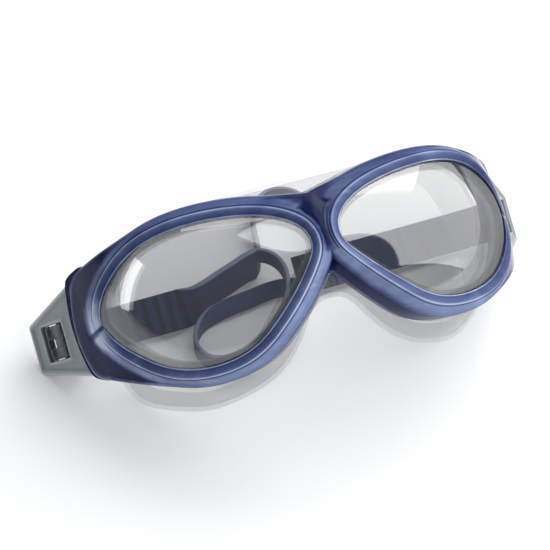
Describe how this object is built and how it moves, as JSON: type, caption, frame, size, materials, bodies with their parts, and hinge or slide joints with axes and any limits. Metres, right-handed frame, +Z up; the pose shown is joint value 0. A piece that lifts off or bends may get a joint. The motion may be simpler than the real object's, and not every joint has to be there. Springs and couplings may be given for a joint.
{
  "type": "swim goggles",
  "caption": "Swim-mask style goggles: curved lenses in a translucent frame, a soft face skirt, and a ribbed rubber strap held by swivelling buckles with release levers.",
  "frame": {"origin": "centre of the footprint, on the surface that the goggles rest on", "axes": "+X to the right seen from in front, towards the right arm; +Y from the lenses back to the strap; +Z up"},
  "size_m": [0.2054, 0.1204, 0.0792],
  "materials": {
    "frame_blue": "translucent blue injection moulding, polished",
    "retainer_blue": "translucent blue moulding, satin",
    "lens_smoke": "clear polycarbonate with a light smoke tint",
    "seal_clear": "clear soft sealing ring",
    "skirt_frost": "frosted translucent silicone",
    "strap_navy": "smooth elastomer strap",
    "arm_smoke": "translucent grey moulding",
    "lever_dark": "dark moulded plastic",
    "roller_grey": "acetal roller",
    "pin_steel": "drawn wire"
  },
  "bodies": {
    "root": {"front_frame": "frame_blue", "rear_frame": "retainer_blue", "left_lens": "lens_smoke", "right_lens": "lens_smoke", "left_lens_gasket": "seal_clear", "right_lens_gasket": "seal_clear", "face_skirt": "skirt_frost", "head_strap": "strap_navy", "left_hinge_pin": "pin_steel", "right_hinge_pin": "pin_steel", "left_strap_flex": "strap_navy", "right_strap_flex": "strap_navy"},
    "left_arm": {"left_arm": "arm_smoke", "left_roller_axle": "pin_steel", "left_lever_pin": "pin_steel", "left_lever_spring": "pin_steel", "left_strap_end": "strap_navy"},
    "left_roller": {"left_roller": "roller_grey"},
    "left_lever": {"left_release_lever": "lever_dark"},
    "right_arm": {"right_arm": "arm_smoke", "right_roller_axle": "pin_steel", "right_lever_pin": "pin_steel", "right_lever_spring": "pin_steel", "right_strap_end": "strap_navy"},
    "right_roller": {"right_roller": "roller_grey"},
    "right_lever": {"right_release_lever": "lever_dark"}
  },
  "joints": [
    {"name": "left_arm_swivel", "type": "hinge", "parent": "root", "child": "left_arm", "pos_m": [-0.08289, -0.00796, 0.02917], "axis": [0, -0.766, -0.6428], "range_deg": [-3, 15], "deforming": ["left_strap_flex"]},
    {"name": "left_lever_tilt", "type": "hinge", "parent": "left_arm", "child": "left_lever", "pos_m": [-0.09633, 0.00467, 0.01179], "axis": [0, -0.766, -0.6428], "range_deg": [0, 40], "stiffness_Nm_per_rad": 0.02},
    {"name": "left_roller_spin", "type": "hinge", "parent": "left_arm", "child": "left_roller", "pos_m": [-0.089, 0.00393, 0.01205], "axis": [0, -0.766, -0.6428], "continuous": true},
    {"name": "right_arm_swivel", "type": "hinge", "parent": "root", "child": "right_arm", "pos_m": [0.08289, -0.00796, 0.02917], "axis": [0, 0.766, 0.6428], "range_deg": [-3, 15], "deforming": ["right_strap_flex"]},
    {"name": "right_lever_tilt", "type": "hinge", "parent": "right_arm", "child": "right_lever", "pos_m": [0.09633, 0.00467, 0.01179], "axis": [0, 0.766, 0.6428], "range_deg": [0, 40], "stiffness_Nm_per_rad": 0.02},
    {"name": "right_roller_spin", "type": "hinge", "parent": "right_arm", "child": "right_roller", "pos_m": [0.089, 0.00393, 0.01205], "axis": [0, 0.766, 0.6428], "continuous": true}
  ]
}
